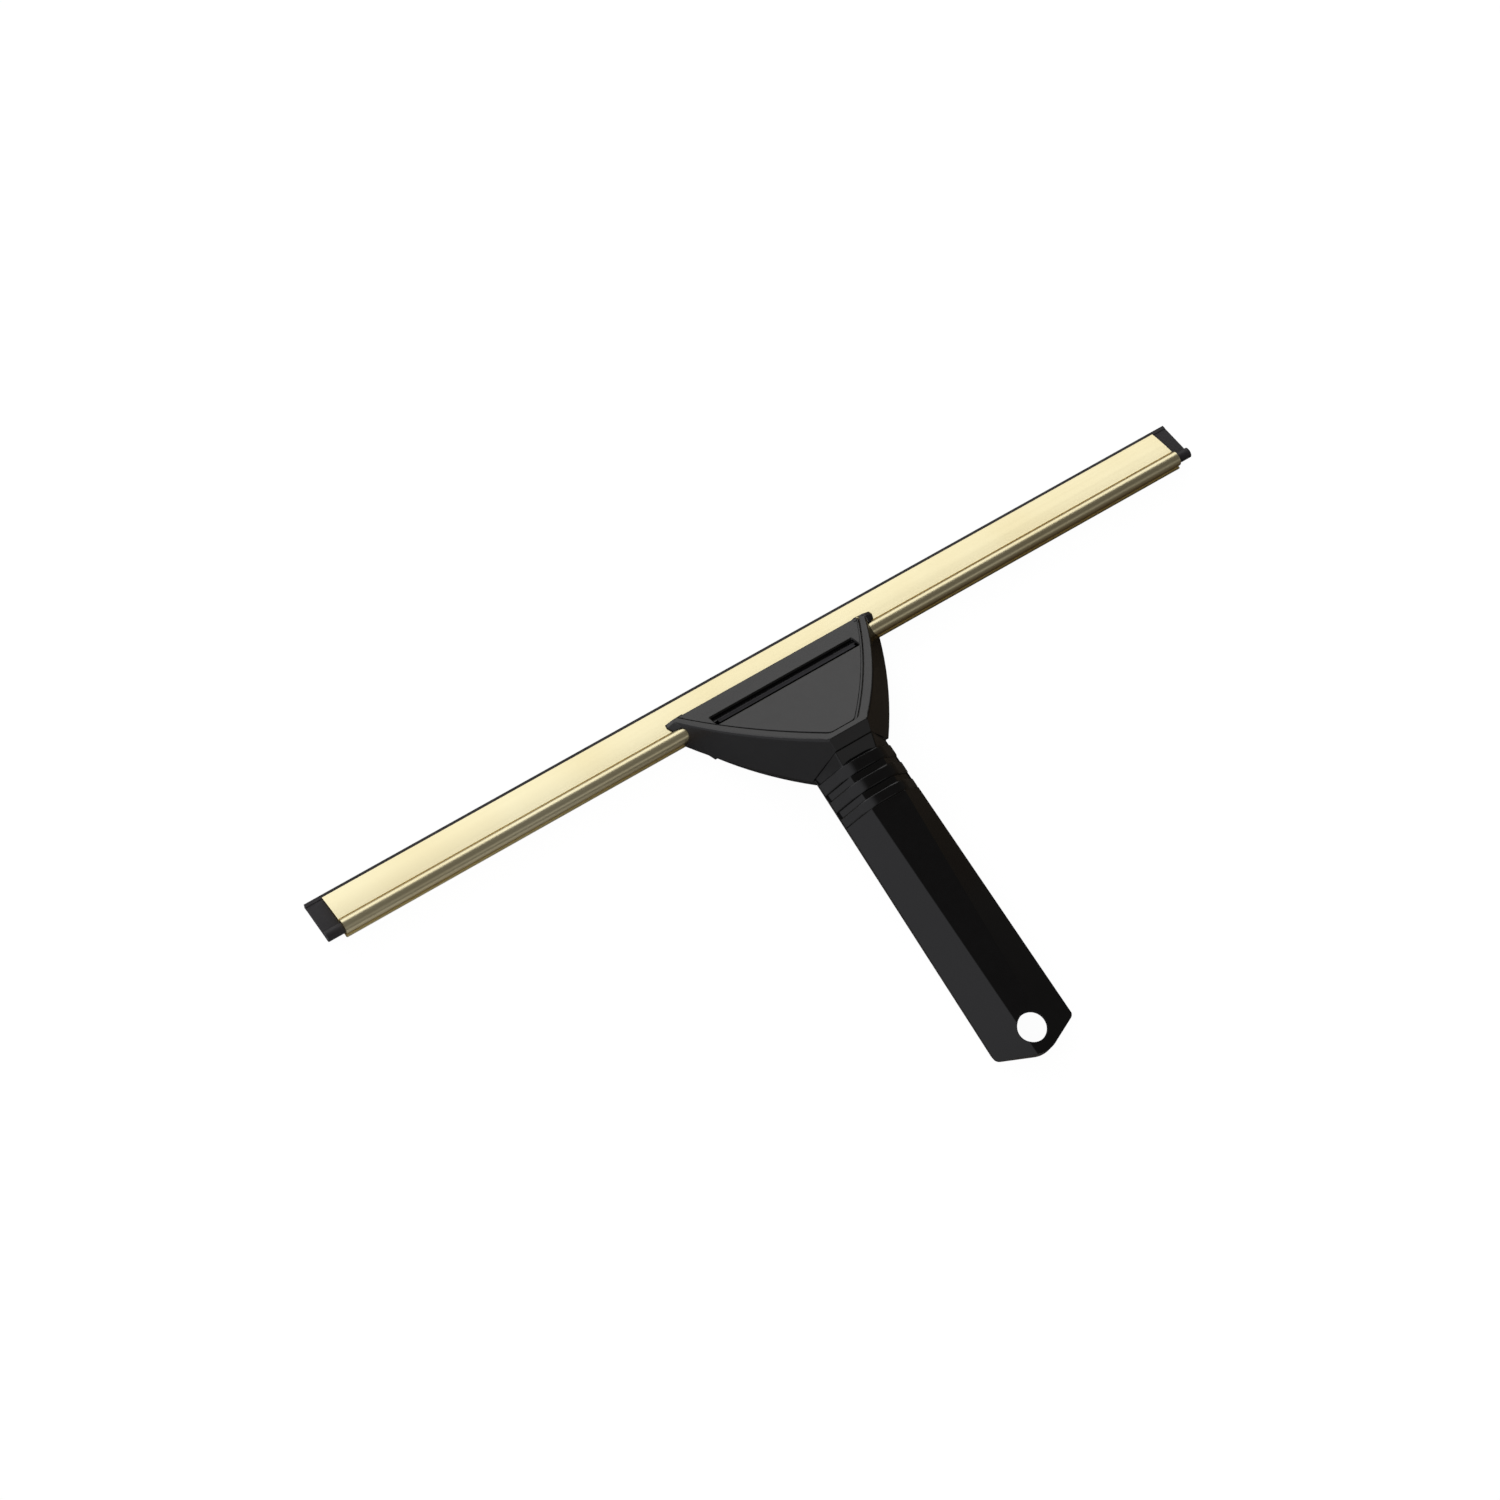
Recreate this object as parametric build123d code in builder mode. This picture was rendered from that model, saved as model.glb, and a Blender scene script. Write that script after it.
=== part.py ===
# Window squeegee: a gold anodised channel with a full-length rubber blade, held in the
# fan-shaped head of a black moulded handle.
#
# The model lies on a table as the real one does, head up: it touches the table along the
# channel's lower front edge and at the end of the grip. +X runs along the channel, +Y from the grip
# towards the rubber, +Z up. The origin is on the table, under the middle of the model's box.
#
# The channel, the head and the grip are drawn in blade coordinates: fwd, from the channel's
# front edge towards the rubber's lip, and up, square to the channel. The blade and the grip
# both fall away from the neck, and lean is the angle between the blade and the table.
import os
from math import atan2, cos, degrees, pi, radians, sin, tan

from build123d import *

os.makedirs("parts", exist_ok=True)

# ------------------------------------------------------------------ driving dimensions, mm
channel_length = 350.0
jaw_top = 2.0               # top of the channel's front edge over the blade's middle
jaw_gap = 2.1               # opening between the channel's jaws
face_crown = 0.25           # how far the channel's top face is crowned
groove_fwd = -11.6          # groove between the channel's flat and its bead
groove_up = 3.6
groove_size = 0.5
bead_fwd = -14.1            # centre of the channel's round bead
bead_up = 2.5
bead_radius = 2.8
flange_back = -16.6         # lower rear edge of the channel
flange_top = 0.0
channel_bottom = -2.0

rubber_overhang = 6.2       # rubber past each end of the channel
rubber_lip = 1.6            # rubber past the channel's jaws
lip_thickness = 2.2
rubber_web = 1.8            # thickness of the rubber between the jaws
root_fwd = -13.4            # centre of the rubber's round root
root_up = 0.9
root_radius = 1.95
rubber_play = 0.15          # rubber to channel, all round
seat_play = 0.15            # channel to handle, all round

panel_rise = 22.6           # slope of the head's top panel over the blade
base_rise = 9.9             # slope of the head's underside
grip_fall = 17.25           # slope of the grip under the blade
head_front_fwd = -7.9       # top edge of the head's jaw
head_front_up = 4.8
head_front_half = 40.4
base_fwd = -17.0            # a point of the head's underside
base_up = 0.5
elbow_fwd = -57.6           # where the underside turns down into the grip
nape_fwd = -55.7            # where the panel ends and the nape falls to the bands
wall = 2.2                  # thickness of the shells
rim_width = 2.6             # raised rim along the panel's bowed sides
rim_round = 1.0
rim_groove = 0.6            # fine groove along the rim's foot
rim_groove_depth = 0.4
rim_corner = 1.4
side_bow = 3.0              # how far the head's sides are bowed
panel_depth = 0.7           # panel under the rim

neck_half = 13.9            # half-width of the neck between its bands
neck_crown = 10.0           # height of the neck over the parting plane
neck_flat = 7.0             # half-width of the neck's flat top
band_proud = 1.3            # bands over the neck's top
band_side = 0.9             # bands over the neck's sides
band_round = 0.7
band_corner = 9.0           # roundness of the bands across the neck
band_starts = (0.0, 7.0, 13.9)
band_widths = (4.7, 4.6, 3.9)
grip_start = 17.8           # start of the plain grip, from the first band
grip_half_start = 14.9
grip_half_end = 16.0
crown_half_start = 6.9      # half-width of the flat along the grip's back
crown_half_end = 3.6
crown_start = 9.9           # height of that flat over the parting plane
crown_end = 5.0
belly_start = 8.0           # depth of the grip under the parting plane
belly_end = 5.0
belly_flat = 0.55           # width of the belly's flat, as a share of the grip's width
side_edge = 0.8             # upright edge along the grip's sides
section_corner = 0.8
hole_along = 107.7          # hanging hole, from the first band
hole_radius = 5.25
hole_rim = 0.6
end_round = 9.3             # radius of the grip's end round the hole
corner_round = 2.8          # the end's outer corners, seen from above
end_slope = 23.0            # slope of the end's two straight edges

slot_half = 29.6            # slot in the head's panel
slot_front = -15.5
slot_back = -20.4
slot_depth = 1.4
bar_half = 28.4             # clamp bar that lies in the slot
plate_half = 25.2
bar_front = -18.2
bar_back = -28.0
bar_shoulder = -20.1        # back of the rail that stands up in the slot
bar_sunk = 1.1              # rail under the panel's rim
bar_rise = 2.6              # bar over the head's underside
nose_fwd = -16.4            # nose of the bar, over the back of the channel's bead
nose_up = 5.1
screw_x = 20.0              # clamp screws, M4
screw_fwd = -24.2
screw_radius = 2.0
screw_tip = 5.8             # heights over the head's underside
screw_seat = -1.6
screw_head_radius = 3.9
screw_head_height = 2.2
screw_play = 0.05           # screw to the part it is turned into
hole_play = 0.25            # clamp screw to the shell it passes through
well_play = 0.4             # screw head to its well
insert_radius = 2.8
insert_top = 5.4
grip_screw_alongs = (22.0, 84.0)
grip_screw_radius = 1.45    # 2.9 mm self-tapping screws
grip_screw_tip = 4.6        # heights over the grip's parting plane
grip_screw_seat = -2.0
grip_head_radius = 2.75
grip_head_height = 1.7
grip_hole_play = 0.15
post_radius = 3.0
well_wall = 1.2             # wall of the wells for the grip screws
ear_half = 43.4             # ears of the head's jaw on the channel's face
ear_height = 1.6
mouth_radius = 8.9          # wide mouth under the hanging hole
mouth_along = 105.3
solid_along = 93.0          # the grip is solid from here to its end
end_draft = 15.0            # lean of the belly's end, inwards
base_thickness = 2.6        # plate under the head
jaw_fwd = -10.0             # front of the lower jaw
jaw_half = 35.0

# ------------------------------------------------------------------ where things lie
band_fwd = elbow_fwd - 2.0
elbow_up = base_up + (base_fwd - elbow_fwd) * tan(radians(base_rise))
band_up = elbow_up - (elbow_fwd - band_fwd) * tan(radians(grip_fall))
nape_up = head_front_up + (head_front_fwd - nape_fwd) * tan(radians(panel_rise))
grip_length = hole_along + end_round


def grip_point(along, height):
    """Blade coordinates of a point along the grip and over its parting plane."""
    fall = radians(grip_fall)
    fwd = band_fwd - along * cos(fall) - height * sin(fall)
    up = band_up - along * sin(fall) + height * cos(fall)
    return fwd, up


def run(start, end, along):
    """Value that changes evenly along the plain grip."""
    return start + (end - start) * (along - grip_start) / (grip_length - grip_start)


nape_foot_fwd, nape_foot_up = grip_point(0.0, neck_crown + band_proud)
nape_fall = degrees(atan2(nape_up - nape_foot_up, nape_fwd - nape_foot_fwd))
elbow_along = -(elbow_fwd - band_fwd) / cos(radians(grip_fall))

# The lean puts the channel's lower front edge and the grip's lower end on the table.
foot_along = grip_length - belly_end * tan(radians(end_draft))
foot_fwd, foot_up = grip_point(foot_along, -run(belly_start, belly_end, foot_along))
lean = degrees(atan2(channel_bottom - foot_up, -foot_fwd))
lean_cos = cos(radians(lean))
lean_sin = sin(radians(lean))
table_up = channel_bottom * lean_cos
tip_fwd, tip_up = grip_point(grip_length, crown_end)
front_reach = rubber_lip * lean_cos + lip_thickness / 2 * lean_sin
back_reach = tip_fwd * lean_cos + tip_up * lean_sin
middle = (front_reach + back_reach) / 2


def place(fwd, up, x=0.0):
    """World position of a point given in blade coordinates."""
    return (x, fwd * lean_cos + up * lean_sin - middle, up * lean_cos - fwd * lean_sin - table_up)


def sloped(fwd, up, rise):
    """Plane through a point, level along the channel, that rises towards the grip."""
    turn = radians(rise + lean)
    return Plane(origin=place(fwd, up), x_dir=(1, 0, 0), z_dir=(0, sin(turn), cos(turn)))


def station(along):
    """Plane square to the grip; its own y runs up from the parting plane."""
    turn = radians(lean - grip_fall)
    origin = place(*grip_point(along, 0.0))
    return Plane(origin=origin, x_dir=(1, 0, 0), z_dir=(0, -cos(turn), sin(turn)))


section = Plane(origin=place(0, 0), x_dir=(0, lean_cos, -lean_sin), z_dir=(1, 0, 0))
panel_plane = sloped(head_front_fwd, head_front_up, panel_rise)
base_plane = sloped(base_fwd, base_up, base_rise)
nape_plane = sloped(nape_fwd, nape_up, -nape_fall)
parting_plane = sloped(band_fwd, band_up, -grip_fall)


def panel_y(fwd):
    """Distance along the panel from the head's front edge, forwards positive."""
    return (fwd - head_front_fwd) / cos(radians(panel_rise))


def base_y(fwd):
    """Distance along the underside from its reference point, forwards positive."""
    return (fwd - base_fwd) / cos(radians(base_rise))


def panel_up(fwd, depth=0.0):
    """Height over the blade of a point a given depth under the panel's rim."""
    return head_front_up + (head_front_fwd - fwd) * tan(radians(panel_rise)) - depth / cos(radians(panel_rise))


def base_up_at(fwd, height=0.0):
    """Height over the blade of a point a given height over the head's underside."""
    return base_up + (base_fwd - fwd) * tan(radians(base_rise)) + height / cos(radians(base_rise))


def table_at(fwd):
    """Height of the table in blade coordinates."""
    return channel_bottom + fwd * tan(radians(lean))


# ------------------------------------------------------------------ faces used more than once
def fan(plane, front_y, front_half, corner, waist_y, waist_half, bow, waist_corner=0.0):
    """Fan-shaped face: straight front, bowed sides and a straight waist."""
    with BuildSketch(plane) as face:
        with BuildLine():
            Line((-front_half, front_y), (front_half, front_y))
            SagittaArc((front_half, front_y), (waist_half, waist_y), bow)
            Line((waist_half, waist_y), (-waist_half, waist_y))
            SagittaArc((-waist_half, waist_y), (-front_half, front_y), bow)
        make_face()
        fillet(face.vertices().group_by(Axis.Y)[-1], corner)
        if waist_corner > 0:
            fillet(face.vertices().group_by(Axis.Y)[0], waist_corner)
    return face.sketch


def panel_fan():
    """Top outline of the head, in the panel's plane."""
    return fan(panel_plane, panel_y(head_front_fwd), head_front_half, rim_corner, panel_y(nape_fwd - 4), 4.0,
               side_bow)


def recess_fan(inset, depth):
    """Outline of the recess inside the panel's rim."""
    under = panel_plane.offset(-depth)
    return fan(under, panel_y(head_front_fwd + 8), head_front_half + 4 - inset, 1.0,
               panel_y(nape_fwd + inset + 0.2), 7.9 - inset, 2.6, 3.0)


def groove_ring():
    """Space of the fine groove along the foot of the panel's rim."""
    with BuildPart() as ring:
        extrude(recess_fan(rim_width, panel_depth), amount=-rim_groove_depth)
        extrude(recess_fan(rim_width + rim_groove, panel_depth), amount=-rim_groove_depth, mode=Mode.SUBTRACT)
    return ring.part


def slot_outline(margin, depth):
    """Outline of the slot with a margin, a given depth under the panel's rim."""
    with BuildSketch(panel_plane.offset(-depth)) as face:
        with Locations((0, (panel_y(slot_front) + panel_y(slot_back)) / 2)):
            RectangleRounded(2 * (slot_half + margin), panel_y(slot_front) - panel_y(slot_back) + 2 * margin, 0.4)
    return face.sketch


def panel_hollow():
    """Top of the hollow in the head, under the panel."""
    under = sloped(head_front_fwd, head_front_up - panel_depth - wall, panel_rise)
    return fan(under, panel_y(bar_front + 0.3), 31.6, 3.0, panel_y(nape_fwd + 2), 4.0, 2.0)


def base_fan(inset=0.0, front_fwd=-5.0, front_half=46.0):
    """Lower outline of the head, in the underside's plane."""
    return fan(base_plane, base_y(front_fwd), front_half - inset, 1.0, base_y(elbow_fwd), 15.9 - inset, 2.4)


def half_section(along, half, flat_half, height, corner=section_corner):
    """Half of the grip's section, on one side of the parting plane: a flat between two slopes."""
    edge = side_edge if height > 0 else -side_edge
    with BuildSketch(station(along)) as face:
        with BuildLine():
            Polyline((-half, 0), (half, 0), (half, edge), (flat_half, height), (-flat_half, height),
                     (-half, edge), close=True)
        make_face()
        fillet(face.vertices().sort_by(lambda point: -abs(point.Y))[:2], corner)
    return face.sketch


def back_section(along, inset=0.0):
    """Upper half of the grip's section, anywhere along it."""
    half = run(grip_half_start, grip_half_end, along)
    flat_half = run(crown_half_start, crown_half_end, along)
    crown = run(crown_start, crown_end, along)
    return half_section(along, half - inset, flat_half - inset * 0.4, crown - inset)


def belly_section(along, inset=0.0):
    """Lower half of the grip's section, anywhere along it."""
    half = run(grip_half_start, grip_half_end, along)
    depth = run(belly_start, belly_end, along)
    return half_section(along, half - inset, belly_flat * half - inset * 0.4, inset - depth, 2.0)


def grip_end(inset=0.0):
    """Plan of the grip with its round, pointed end, in the parting plane."""
    turn = radians(end_slope)
    tip = end_round - inset
    touch_x = tip * sin(turn)
    touch_y = -hole_along - tip * cos(turn)
    half = grip_half_end + 0.15
    shoulder = touch_y + (half - touch_x) * tan(turn)
    with BuildSketch(parting_plane) as face:
        with BuildLine():
            Polyline((-touch_x, touch_y), (-half, shoulder), (-half, 60), (half, 60), (half, shoulder),
                     (touch_x, touch_y))
            ThreePointArc((touch_x, touch_y), (0, -hole_along - tip), (-touch_x, touch_y))
        make_face()
        fillet(face.vertices().group_by(Axis.Y)[1], corner_round)
    return face.sketch


# ------------------------------------------------------------------ channel and rubber
with BuildPart() as blade_channel:
    with BuildSketch(section):
        with BuildLine():
            SagittaArc((0, jaw_top), (groove_fwd, groove_up), -face_crown)
            Polyline((groove_fwd, groove_up), (bead_fwd, bead_up), (flange_back + 0.8, flange_top),
                     (flange_back, flange_top), (flange_back, flange_top - 0.7),
                     (flange_back + 1.0, channel_bottom), (0, channel_bottom), (0, jaw_top))
        make_face()
        with Locations((bead_fwd, bead_up)):
            Circle(bead_radius)
        with Locations((groove_fwd + 0.1, groove_up)):
            Rectangle(groove_size, 2 * groove_size, mode=Mode.SUBTRACT)
        with Locations((root_fwd / 2, 0)):
            Rectangle(-root_fwd, jaw_gap, mode=Mode.SUBTRACT)
        with Locations((root_fwd, root_up)):
            Circle(root_radius + rubber_play, mode=Mode.SUBTRACT)
    extrude(amount=channel_length / 2, both=True)
blade_channel.part.label = "blade_channel"
export_step(blade_channel.part, "parts/blade_channel.step")

with BuildPart() as rubber_blade:
    with BuildSketch(section):
        with Locations((root_fwd / 2, 0)):
            Rectangle(-root_fwd + 0.6, rubber_web)
        with Locations(((rubber_lip + 0.2) / 2, 0)):
            Rectangle(rubber_lip - 0.2, lip_thickness)
        with Locations((root_fwd, root_up)):
            Circle(root_radius)
    extrude(amount=channel_length / 2 + rubber_overhang, both=True)
rubber_blade.part.label = "rubber_blade"
export_step(rubber_blade.part, "parts/rubber_blade.step")

# ------------------------------------------------------------------ outer form of the top shell
face_rise = degrees(atan2(groove_up - jaw_top, -groove_fwd))
face_plane = sloped(0, jaw_top + seat_play, face_rise)


def ear(side):
    """Low ear that carries the head's jaw outwards along the channel's face."""
    root_half = 36.0
    with BuildPart() as tip:
        with BuildSketch(face_plane):
            Polygon((side * root_half, -7.0), (side * ear_half, -7.6), (side * (ear_half + 0.3), -9.2),
                    (side * (ear_half - 1.4), -13.4), (side * root_half, -14.5), align=None)
        with BuildSketch(face_plane.offset(ear_height)):
            Polygon((side * root_half, -8.0), (side * (ear_half - 3.4), -8.2), (side * (ear_half - 3.2), -9.4),
                    (side * (ear_half - 4.0), -12.6), (side * root_half, -13.5), align=None)
        loft()
    return tip.part


with BuildPart() as head_form:
    loft([base_fan(), panel_fan()])
    split(bisect_by=nape_plane, keep=Keep.BOTTOM)
    rim_face = head_form.faces().sort_by(lambda face: abs(panel_plane.to_local_coords(face.center()).Z))[0]
    fillet(rim_face.edges().sort_by(Axis.Y)[1:], rim_round)
    add(ear(1))
    add(ear(-1))

with BuildPart() as neck_form:
    loft([half_section(-16.0, 17.0, 9.0, 19.6), half_section(0.0, neck_half, neck_flat, neck_crown)])
    split(bisect_by=panel_plane, keep=Keep.BOTTOM)
    loft([half_section(0.0, neck_half, neck_flat, neck_crown),
          half_section(grip_start, neck_half, neck_flat - 0.5, neck_crown - 0.8)])

with BuildPart() as grip_form:
    loft([back_section(grip_start), back_section(grip_length + 3)])
    extrude(grip_end(), amount=30, both=True, mode=Mode.INTERSECT)


def band(along, width):
    """One raised band round the upper half of the neck."""
    top = neck_crown + band_proud
    half = neck_half + band_side
    start = half_section(along, half, neck_flat, top, band_corner)
    end = half_section(along + width, half, neck_flat, top - 0.2, band_corner)
    with BuildPart() as ring:
        loft([start, end])
        ends = ring.faces().sort_by(Axis.Y)
        rims = (ends[0].edges() + ends[-1].edges()).filter_by(
            lambda edge: parting_plane.to_local_coords(edge.center()).Z > 0.5)
        fillet(rims, band_round)
    return ring.part


def seat(play):
    """Space that the channel takes in the handle, open to the front."""
    slope = (groove_up - jaw_top) / groove_fwd
    top_front = jaw_top + face_crown + play + 12 * slope
    top_back = jaw_top + face_crown + play + (groove_fwd - 0.9) * slope
    with BuildPart() as space:
        with BuildSketch(section):
            with BuildLine():
                Polyline((12, channel_bottom - play), (12, top_front), (groove_fwd - 0.9, top_back),
                         (bead_fwd, bead_up), (flange_back - play, bead_up),
                         (flange_back - play, channel_bottom - play), close=True)
            make_face()
            with Locations((bead_fwd, bead_up)):
                Circle(bead_radius + play)
        extrude(amount=head_front_half + 12, both=True)
    return space.part


def block(half_length, *points):
    """Prism along the channel with the given section in blade coordinates."""
    with BuildPart() as prism:
        with BuildSketch(section):
            with BuildLine():
                Polyline(*points, close=True)
            make_face()
        extrude(amount=half_length, both=True)
    return prism.part


def pins(plane, points, radius, bottom, top):
    """Round bars square to a plane, from one height to another, at points of the plane."""
    with BuildPart() as bars:
        with BuildSketch(plane.offset(bottom)):
            with Locations(*points):
                Circle(radius)
        extrude(amount=top - bottom)
    return bars.part


clamp_points = [(-screw_x, base_y(screw_fwd)), (screw_x, base_y(screw_fwd))]
grip_points = [(0, -along) for along in grip_screw_alongs]

# ------------------------------------------------------------------ handle, top shell
with BuildPart() as handle_top_shell:
    add(head_form.part)
    add(neck_form.part)
    add(grip_form.part)
    for along, width in zip(band_starts, band_widths):
        add(band(along, width))
    # hollow of the head and of the grip, open downwards
    loft([base_fan(wall, bar_front + 0.3, 36.4), panel_hollow()], mode=Mode.SUBTRACT)
    loft([back_section(-8.0, wall), back_section(solid_along, wall)], mode=Mode.SUBTRACT)
    # posts for the grip screws
    for along, point in zip(grip_screw_alongs, grip_points):
        crown = run(crown_start, crown_end, along)
        add(pins(parting_plane, [point], post_radius, 0, crown - 0.5))
    add(pins(parting_plane, grip_points, grip_screw_radius + screw_play, -1, grip_screw_tip + 0.2),
        mode=Mode.SUBTRACT)
    # panel under its rim, and the slot in it with the space for the clamp bar
    loft([recess_fan(rim_width - 0.5, 0.0), recess_fan(rim_width, panel_depth)], mode=Mode.SUBTRACT)
    add(groove_ring(), mode=Mode.SUBTRACT)
    loft([slot_outline(0.5, panel_depth), slot_outline(0.0, panel_depth + 0.5)], mode=Mode.SUBTRACT)
    extrude(slot_outline(0.0, panel_depth + 0.5), amount=0.5 - slot_depth, mode=Mode.SUBTRACT)
    add(block(slot_half, (bar_front + 0.3, base_up - 1), (bar_front + 0.3, panel_up(bar_front)),
              (slot_back, panel_up(slot_back)), (slot_back, base_up - 1)), mode=Mode.SUBTRACT)
    add(block(bar_half + 0.4, (nose_fwd + 0.6, -1), (nose_fwd + 0.6, nose_up + 0.25),
              (bar_front, nose_up + 0.25), (bar_front, -1)), mode=Mode.SUBTRACT)
    # the channel's seat, and everything under the channel
    add(seat(seat_play), mode=Mode.SUBTRACT)
    add(block(60, (20, channel_bottom), (20, -12), (-90, -12), (flange_back - seat_play, base_up_at(flange_back))),
        mode=Mode.SUBTRACT)
    # hanging hole with its broken edge, over a wide mouth
    roof = run(crown_start, crown_end, hole_along) - wall
    add(pins(parting_plane, [(0, -mouth_along)], mouth_radius, -1, roof), mode=Mode.SUBTRACT)
    add(pins(parting_plane, [(0, -hole_along)], hole_radius, -1, 12), mode=Mode.SUBTRACT)
    hole_edges = handle_top_shell.edges().filter_by(lambda edge: abs(edge.length - 2 * pi * hole_radius) < 0.3)
    chamfer(hole_edges.sort_by(Axis.Z)[-1], hole_rim)
handle_top_shell.part.label = "handle_top_shell"
export_step(handle_top_shell.part, "parts/handle_top_shell.step")

# ------------------------------------------------------------------ handle, base shell
with BuildPart() as belly_form:
    loft([belly_section(-16.0), belly_section(grip_length + 3)])
    split(bisect_by=base_plane, keep=Keep.BOTTOM)
    extrude(grip_end(), amount=-30, taper=end_draft, mode=Mode.INTERSECT)

with BuildPart() as handle_base_shell:
    # plate under the head, inset behind the top shell's edge
    extrude(base_fan(1.5, -15.0, 40.2), amount=-base_thickness)
    add(belly_form.part)
    # lower jaw under the channel
    add(block(jaw_half, (jaw_fwd, channel_bottom - seat_play), (jaw_fwd, table_at(jaw_fwd) + 0.3),
              (-19.5, table_at(-19.5) + 0.3), (-27.0, base_up_at(-27.0, -base_thickness)),
              (-27.0, base_up_at(-27.0, -0.5)), (-15.0, base_up_at(-15.0, -0.5))))
    loft([belly_section(-4.0, wall), belly_section(solid_along, wall)], mode=Mode.SUBTRACT)
    add(seat(seat_play), mode=Mode.SUBTRACT)
    # wells for the grip screws
    for along, point in zip(grip_screw_alongs, grip_points):
        depth = run(belly_start, belly_end, along)
        add(pins(parting_plane, [point], post_radius + well_wall, 0.5 - depth, 0))
    add(pins(parting_plane, grip_points, post_radius, -15, grip_screw_seat), mode=Mode.SUBTRACT)
    add(pins(parting_plane, grip_points, grip_screw_radius + grip_hole_play, -5, 1), mode=Mode.SUBTRACT)
    # wells for the clamp screws
    add(pins(base_plane, clamp_points, screw_head_radius + well_play, -9, screw_seat), mode=Mode.SUBTRACT)
    add(pins(base_plane, clamp_points, screw_radius + hole_play, -5, 1), mode=Mode.SUBTRACT)
    add(pins(parting_plane, [(0, -mouth_along)], mouth_radius, -12, 1), mode=Mode.SUBTRACT)
handle_base_shell.part.label = "handle_base_shell"
export_step(handle_base_shell.part, "parts/handle_base_shell.step")

# ------------------------------------------------------------------ clamp bar and its inserts
with BuildPart() as clamp_bar:
    bar_depth = panel_depth + wall + 0.2
    # rail in the slot with its nose over the bead, and a shorter plate behind it
    add(block(bar_half, (bar_front, base_up_at(bar_front, bar_rise)), (nose_fwd - 0.65, nose_up - 1.7),
              (nose_fwd, nose_up - 0.5), (nose_fwd, nose_up), (bar_front, nose_up),
              (bar_front, panel_up(bar_front, bar_sunk)), (bar_shoulder, panel_up(bar_shoulder, bar_sunk)),
              (bar_shoulder, base_up_at(bar_shoulder, bar_rise))))
    add(block(plate_half, (bar_shoulder, base_up_at(bar_shoulder, bar_rise)),
              (bar_shoulder, panel_up(bar_shoulder, bar_depth)), (bar_back, panel_up(bar_back, bar_depth)),
              (bar_back, base_up_at(bar_back, bar_rise))))
    add(pins(base_plane, clamp_points, insert_radius + screw_play, 0, 12), mode=Mode.SUBTRACT)
clamp_bar.part.label = "clamp_bar"
export_step(clamp_bar.part, "parts/clamp_bar.step")

with BuildPart() as clamp_inserts:
    add(pins(base_plane, clamp_points, insert_radius, bar_rise, insert_top))
    add(pins(base_plane, clamp_points, screw_radius + screw_play, 0, 12), mode=Mode.SUBTRACT)
clamp_inserts.part.label = "clamp_inserts"
export_step(clamp_inserts.part, "parts/clamp_inserts.step")


# ------------------------------------------------------------------ screws
def screws(plane, points, radius, tip, seat_height, head_radius, head_height):
    """Pan-head screws with cross recesses, heads down."""
    under = seat_height - head_height
    with BuildPart() as fasteners:
        add(pins(plane, points, radius, seat_height, tip))
        add(pins(plane, points, head_radius, under, seat_height))
        chamfer(fasteners.edges().filter_by(
            lambda edge: abs(plane.to_local_coords(edge.center()).Z - under) < 0.01), 0.6)
        with BuildSketch(plane.offset(under)):
            with Locations(*points):
                Rectangle(1.2 * head_radius, 0.24 * head_radius)
                Rectangle(0.24 * head_radius, 1.2 * head_radius)
        extrude(amount=0.55 * head_height, mode=Mode.SUBTRACT)
    return fasteners.part


with BuildPart() as clamp_screws:
    add(screws(base_plane, clamp_points, screw_radius, screw_tip, screw_seat, screw_head_radius,
               screw_head_height))
clamp_screws.part.label = "clamp_screws"
export_step(clamp_screws.part, "parts/clamp_screws.step")

with BuildPart() as grip_screws:
    add(screws(parting_plane, grip_points, grip_screw_radius, grip_screw_tip, grip_screw_seat,
               grip_head_radius, grip_head_height))
grip_screws.part.label = "grip_screws"
export_step(grip_screws.part, "parts/grip_screws.step")
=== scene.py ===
import math

import bpy
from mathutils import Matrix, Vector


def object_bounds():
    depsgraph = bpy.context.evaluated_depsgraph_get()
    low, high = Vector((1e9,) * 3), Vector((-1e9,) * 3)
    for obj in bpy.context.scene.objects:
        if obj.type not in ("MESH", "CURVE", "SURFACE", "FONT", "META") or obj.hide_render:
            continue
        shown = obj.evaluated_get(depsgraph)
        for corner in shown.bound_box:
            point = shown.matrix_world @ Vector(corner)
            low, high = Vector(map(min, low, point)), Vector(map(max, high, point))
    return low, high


# Window squeegee: camera, finishes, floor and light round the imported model.
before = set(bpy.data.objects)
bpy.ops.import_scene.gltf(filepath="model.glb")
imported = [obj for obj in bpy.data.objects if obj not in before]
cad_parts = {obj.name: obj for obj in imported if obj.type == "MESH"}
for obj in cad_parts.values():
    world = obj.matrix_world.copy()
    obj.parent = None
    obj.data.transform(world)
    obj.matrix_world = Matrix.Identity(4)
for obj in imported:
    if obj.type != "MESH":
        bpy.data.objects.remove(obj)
cad_low, cad_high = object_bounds()

# ------------------------------------------------------------------ camera
# Above the grip's left side, with the channel running from lower left to upper right.
camera_place = (-0.36986, -0.29602, 1.04255)
camera_turn = (25.0264, -5.1547, -33.6673)
bpy.ops.object.camera_add(location=camera_place, rotation=[math.radians(angle) for angle in camera_turn])
camera = bpy.context.object
camera.data.lens = 80.02
camera.data.sensor_width = 36.0
bpy.context.scene.camera = camera


# ------------------------------------------------------------------ materials
def colour(code):
    """sRGB hex code as linear red, green, blue and alpha."""
    parts = [int(code[i:i + 2], 16) / 255 for i in (0, 2, 4)]
    return tuple(c / 12.92 if c <= 0.04045 else ((c + 0.055) / 1.055) ** 2.4 for c in parts) + (1.0,)


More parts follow.
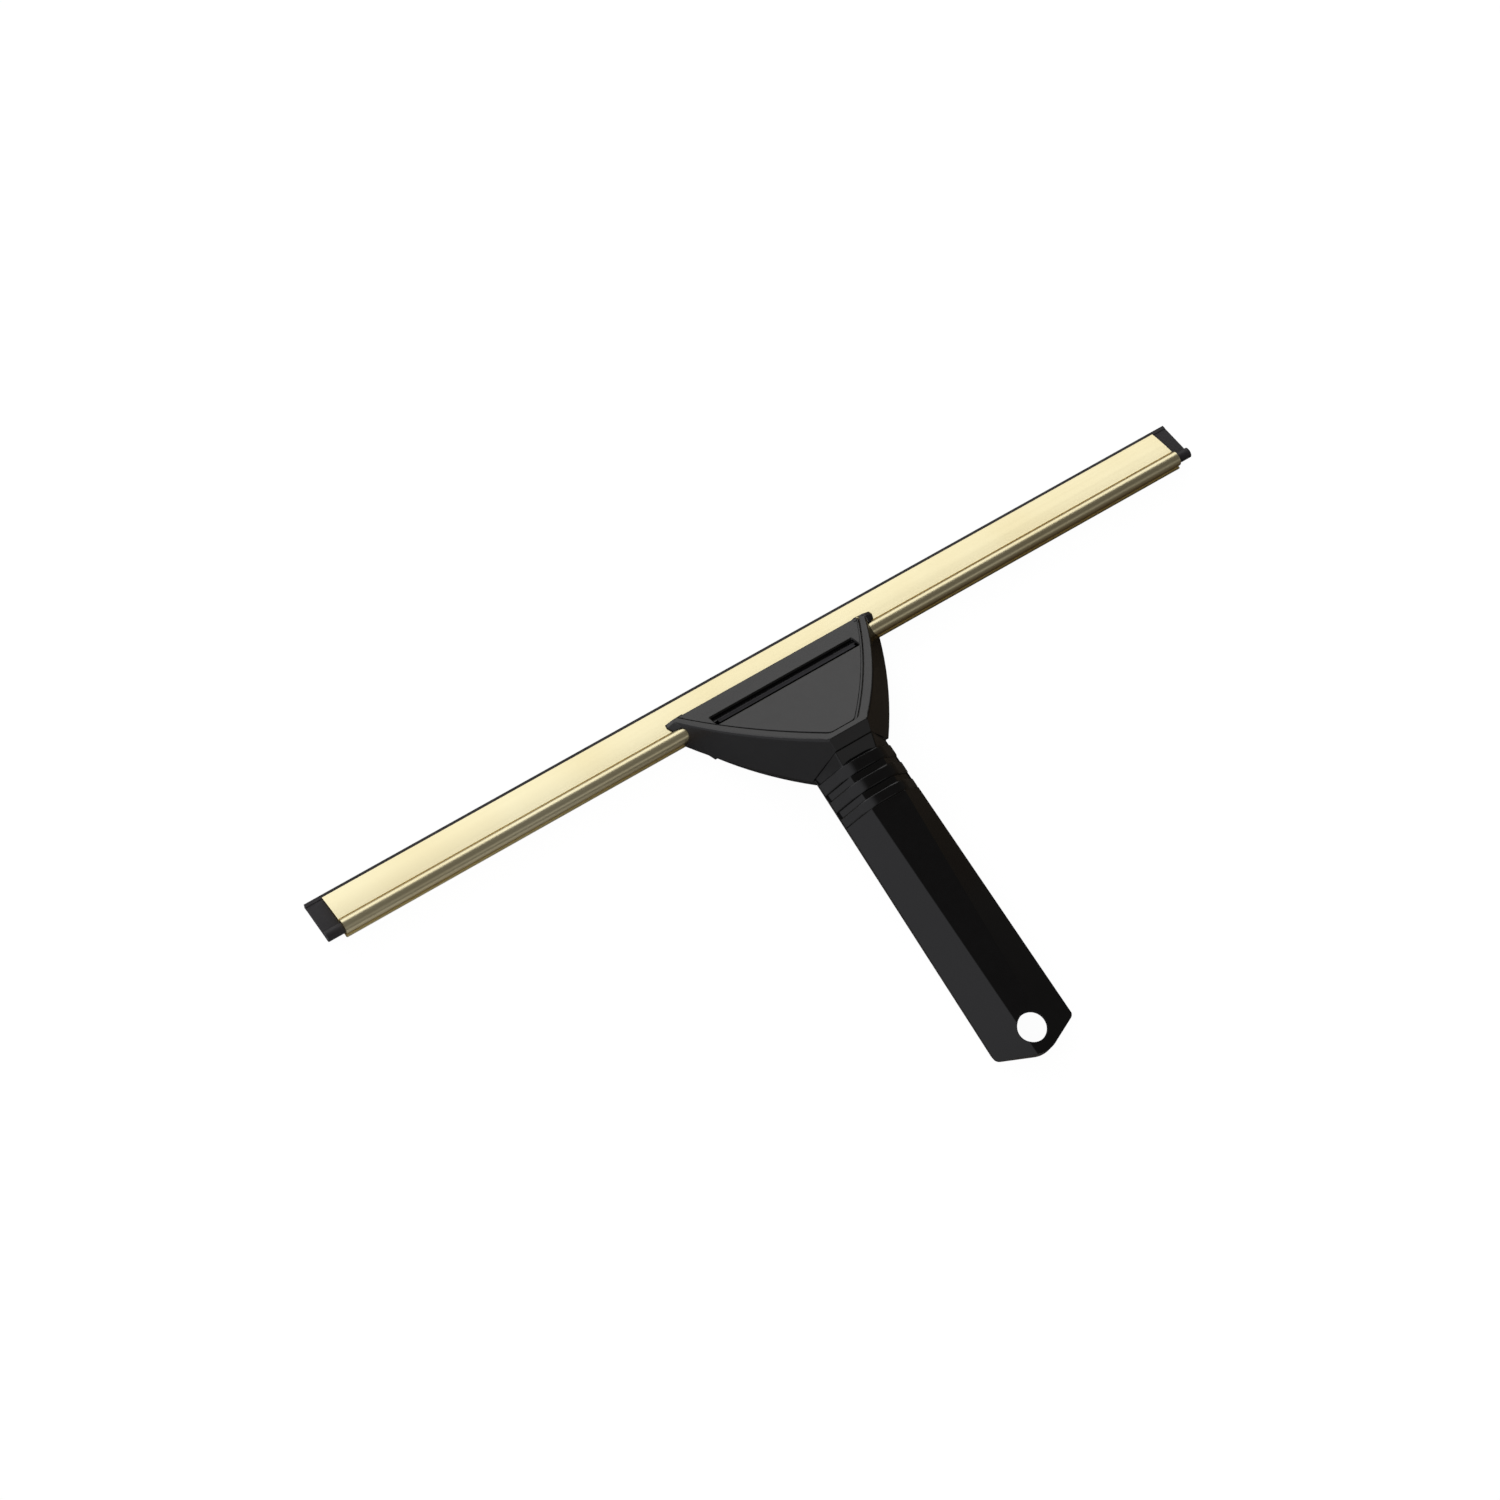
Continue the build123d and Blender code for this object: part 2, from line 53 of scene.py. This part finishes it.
def node(tree, kind, values=(), links=(), **settings):
    """Adds one node: its settings, the values of its inputs, and links from other nodes' outputs."""
    made = tree.nodes.new(kind)
    for name, value in settings.items():
        setattr(made, name, value)
    for name, value in dict(values).items():
        made.inputs[name].default_value = value
    for name, source in dict(links).items():
        tree.links.new(source, made.inputs[name])
    return made


def new_material(name):
    """New material: itself, its node tree, its object coordinates in metres, and its shader."""
    finish = bpy.data.materials.new(name)
    finish.use_nodes = True
    tree = finish.node_tree
    place = node(tree, "ShaderNodeTexCoord").outputs["Object"]
    return finish, tree, place, tree.nodes["Principled BSDF"]


def per_metre(size):
    """Scale of a pattern whose features are a given size in millimetres."""
    return 1000 / size


def ramp(tree, source, low, high):
    """Colour ramp between two pairs of a position and a colour."""
    made = node(tree, "ShaderNodeValToRGB", links={"Fac": source})
    for element, (position, value) in zip(made.color_ramp.elements, (low, high)):
        element.position = position
        element.color = value
    return made.outputs["Color"]


# Gold anodised aluminium, drawn through a die and satin finished: pale gold, with faint lines
# along its length that spread the highlight across it. The die lines are drawn about ten times
# coarser than they are, or they wouldn't show. Seen at a slant, the dyed layer is deeper.
gold, tree, place, shader = new_material("gold_anodised_aluminium")
shader.inputs["Metallic"].default_value = 1.0
shader.inputs["Specular Tint"].default_value = colour("8A5A14")
stretch = node(tree, "ShaderNodeMapping", {"Scale": (per_metre(165), per_metre(1.1), per_metre(1.1))},
               {"Vector": place})
lines = node(tree, "ShaderNodeTexNoise", {"Scale": 1.0, "Detail": 3.0, "Roughness": 0.6},
             {"Vector": stretch.outputs[0]})
clouds = node(tree, "ShaderNodeTexNoise", {"Scale": per_metre(40), "Detail": 2.0}, {"Vector": place})
tree.links.new(ramp(tree, clouds.outputs["Fac"], (0.3, colour("F3E7BC")), (0.7, colour("F9F0CA"))),
               shader.inputs["Base Color"])
rough = node(tree, "ShaderNodeMapRange", {"To Min": 0.26, "To Max": 0.40}, {"Value": lines.outputs["Fac"]})
tree.links.new(rough.outputs[0], shader.inputs["Roughness"])
bump = node(tree, "ShaderNodeBump", {"Strength": 0.12, "Distance": 0.00005}, {"Height": lines.outputs["Fac"]})
tree.links.new(bump.outputs[0], shader.inputs["Normal"])

# Black ABS, injection moulded in a polished mould: deep black with a clear gloss, and the slight
# waviness of a moulded skin in its reflections. Its edges are as round as a mould leaves them, so
# they catch thin lines of light.
plastic, tree, place, shader = new_material("black_abs_polished")
waves = node(tree, "ShaderNodeTexNoise", {"Scale": per_metre(22), "Detail": 2.0}, {"Vector": place})
scuffs = node(tree, "ShaderNodeTexNoise", {"Scale": per_metre(4), "Detail": 4.0, "Roughness": 0.7},
              {"Vector": place})
tree.links.new(ramp(tree, scuffs.outputs["Fac"], (0.35, colour("0B0B0D")), (0.75, colour("101012"))),
               shader.inputs["Base Color"])
rough = node(tree, "ShaderNodeMapRange", {"To Min": 0.16, "To Max": 0.26}, {"Value": scuffs.outputs["Fac"]})
tree.links.new(rough.outputs[0], shader.inputs["Roughness"])
edges = node(tree, "ShaderNodeBevel", {"Radius": 0.0004}, samples=6)
bump = node(tree, "ShaderNodeBump", {"Strength": 0.10, "Distance": 0.0004},
            {"Height": waves.outputs["Fac"], "Normal": edges.outputs["Normal"]})
tree.links.new(bump.outputs[0], shader.inputs["Normal"])
shader.inputs["IOR"].default_value = 1.52

# EPDM rubber, moulded and cut to length: matt near-black with a slight bloom and fine grain.
rubber, tree, place, shader = new_material("black_epdm_rubber")
bloom = node(tree, "ShaderNodeTexNoise", {"Scale": per_metre(8), "Detail": 4.0}, {"Vector": place})
tree.links.new(ramp(tree, bloom.outputs["Fac"], (0.3, colour("2C2A2D")), (0.75, colour("3A373B"))),
               shader.inputs["Base Color"])
grain = node(tree, "ShaderNodeTexNoise", {"Scale": per_metre(0.45), "Detail": 2.0}, {"Vector": place})
bump = node(tree, "ShaderNodeBump", {"Strength": 0.15, "Distance": 0.0001}, {"Height": grain.outputs["Fac"]})
tree.links.new(bump.outputs[0], shader.inputs["Normal"])
shader.inputs["Roughness"].default_value = 0.62

# Drawn steel bar, dulled: dark grey metal with lines along its length.
steel, tree, place, shader = new_material("drawn_steel")
shader.inputs["Metallic"].default_value = 1.0
stretch = node(tree, "ShaderNodeMapping", {"Scale": (per_metre(100), per_metre(0.65), per_metre(0.65))},
               {"Vector": place})
lines = node(tree, "ShaderNodeTexNoise", {"Scale": 1.0, "Detail": 3.0}, {"Vector": stretch.outputs[0]})
tree.links.new(ramp(tree, lines.outputs["Fac"], (0.3, colour("1C1C1E")), (0.7, colour("3A3A3E"))),
               shader.inputs["Base Color"])
shader.inputs["Roughness"].default_value = 0.42

# Turned brass: warm yellow metal with fine turning marks.
brass, tree, place, shader = new_material("turned_brass")
shader.inputs["Metallic"].default_value = 1.0
marks = node(tree, "ShaderNodeTexNoise", {"Scale": per_metre(1.1), "Detail": 2.0}, {"Vector": place})
tree.links.new(ramp(tree, marks.outputs["Fac"], (0.3, colour("C9A04E")), (0.7, colour("DDB764"))),
               shader.inputs["Base Color"])
shader.inputs["Roughness"].default_value = 0.3

# Zinc-plated steel screws: light grey metal, a little cloudy.
zinc, tree, place, shader = new_material("zinc_plated_steel")
shader.inputs["Metallic"].default_value = 1.0
cloud = node(tree, "ShaderNodeTexNoise", {"Scale": per_metre(2), "Detail": 3.0}, {"Vector": place})
tree.links.new(ramp(tree, cloud.outputs["Fac"], (0.3, colour("9EA1A6")), (0.7, colour("C4C6C9"))),
               shader.inputs["Base Color"])
shader.inputs["Roughness"].default_value = 0.34

# Every finish goes to its nodes by name.
finishes = {"blade_channel": gold, "rubber_blade": rubber, "handle_top_shell": plastic,
            "handle_base_shell": plastic, "clamp_bar": steel, "clamp_inserts": brass,
            "clamp_screws": zinc, "grip_screws": zinc}
for name, finish in finishes.items():
    for material_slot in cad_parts[name].material_slots:
        material_slot.material = finish

# ------------------------------------------------------------------ floor and light
# White paper sweep: the camera sees it evenly white. For every other ray its colour is painted, pale on the
# left and dark brown on the right. This painted reflection darkens the right-hand glossy parts, and no card
# lies there.
floor_size = 12.0
# Painted reflection: where the floor's reflected colour turns from pale to dark brown.
reflection_pale_until = -0.14          # across the floor, from its pale left to its dark right
reflection_dark_from = 0.05
bpy.ops.object.select_all(action="DESELECT")
bpy.ops.mesh.primitive_plane_add(size=floor_size, location=(0, 0, cad_low[2]))
floor = bpy.context.object
floor.name = "floor"
paper_with_painted_reflection, tree, place, shader = new_material("white_paper_painted_reflection")
across = node(tree, "ShaderNodeSeparateXYZ", links={0: place}).outputs["X"]
side = node(tree, "ShaderNodeMapRange", {"From Min": reflection_pale_until, "From Max": reflection_dark_from}, {"Value": across})
tree.links.new(ramp(tree, side.outputs[0], (0.0, colour("E6E6E6")), (1.0, colour("6A5D4C"))),
               shader.inputs["Base Color"])
shader.inputs["Roughness"].default_value = 0.9
glow = node(tree, "ShaderNodeEmission", {"Color": colour("FFFFFF"), "Strength": 1.10})
lit = node(tree, "ShaderNodeBsdfDiffuse", {"Color": colour("F4F4F4")})
shown = node(tree, "ShaderNodeMixShader", {0: 0.12}, {1: glow.outputs[0], 2: lit.outputs[0]})
# Camera rays see the evenly white paper. All other rays see the painted pale-to-dark-brown floor, which puts
# a painted darker reflection on the right.
path = node(tree, "ShaderNodeLightPath")
mix = node(tree, "ShaderNodeMixShader", links={0: path.outputs["Is Camera Ray"], 1: shader.outputs[0],
                                               2: shown.outputs[0]})
tree.links.new(mix.outputs[0], tree.nodes["Material Output"].inputs["Surface"])
floor.data.materials.append(paper_with_painted_reflection)

# Studio round the table: pale walls on the left, and brown cloth on the right, behind the camera
# and overhead, so that only the facets that lean to the left or the back are lit. The dark side is
# a little warm, as the shaded gold is.
world = bpy.data.worlds.new("studio")
world.use_nodes = True
tree = world.node_tree
direction = node(tree, "ShaderNodeTexCoord").outputs["Generated"]
across = node(tree, "ShaderNodeSeparateXYZ", links={0: direction}).outputs["X"]
side = node(tree, "ShaderNodeMapRange", {"From Min": -0.35, "From Max": 0.05}, {"Value": across})
pale_wall = (0.62, 0.62, 0.64, 1)
dark_cloth = (0.092, 0.086, 0.078, 1)
walls = ramp(tree, side.outputs[0], (0.0, pale_wall), (1.0, dark_cloth))
tree.links.new(walls, tree.nodes["Background"].inputs["Color"])
tree.nodes["Background"].inputs["Strength"].default_value = 1.0
bpy.context.scene.world = world


def soft_light(name, place, size, power):
    """Rectangular soft light at a place, turned towards the object."""
    bpy.ops.object.light_add(type="AREA", location=place)
    lamp = bpy.context.object
    lamp.name = name
    lamp.data.shape = "RECTANGLE"
    lamp.data.size, lamp.data.size_y = size
    lamp.data.energy = power
    lamp.rotation_mode = "QUATERNION"
    lamp.rotation_quaternion = lamp.location.to_track_quat("Z", "Y")


# A wide light beyond the channel lights the gold and the head's panel; a faint one beyond the
# grip's end lights the nape.
soft_light("back_light", (0.35, 1.7, 0.70), (3.2, 1.6), 17)
soft_light("nape_light", (0.60, -1.42, 1.02), (0.7, 0.7), 0.5)
bpy.context.scene.view_settings.view_transform = "Standard"
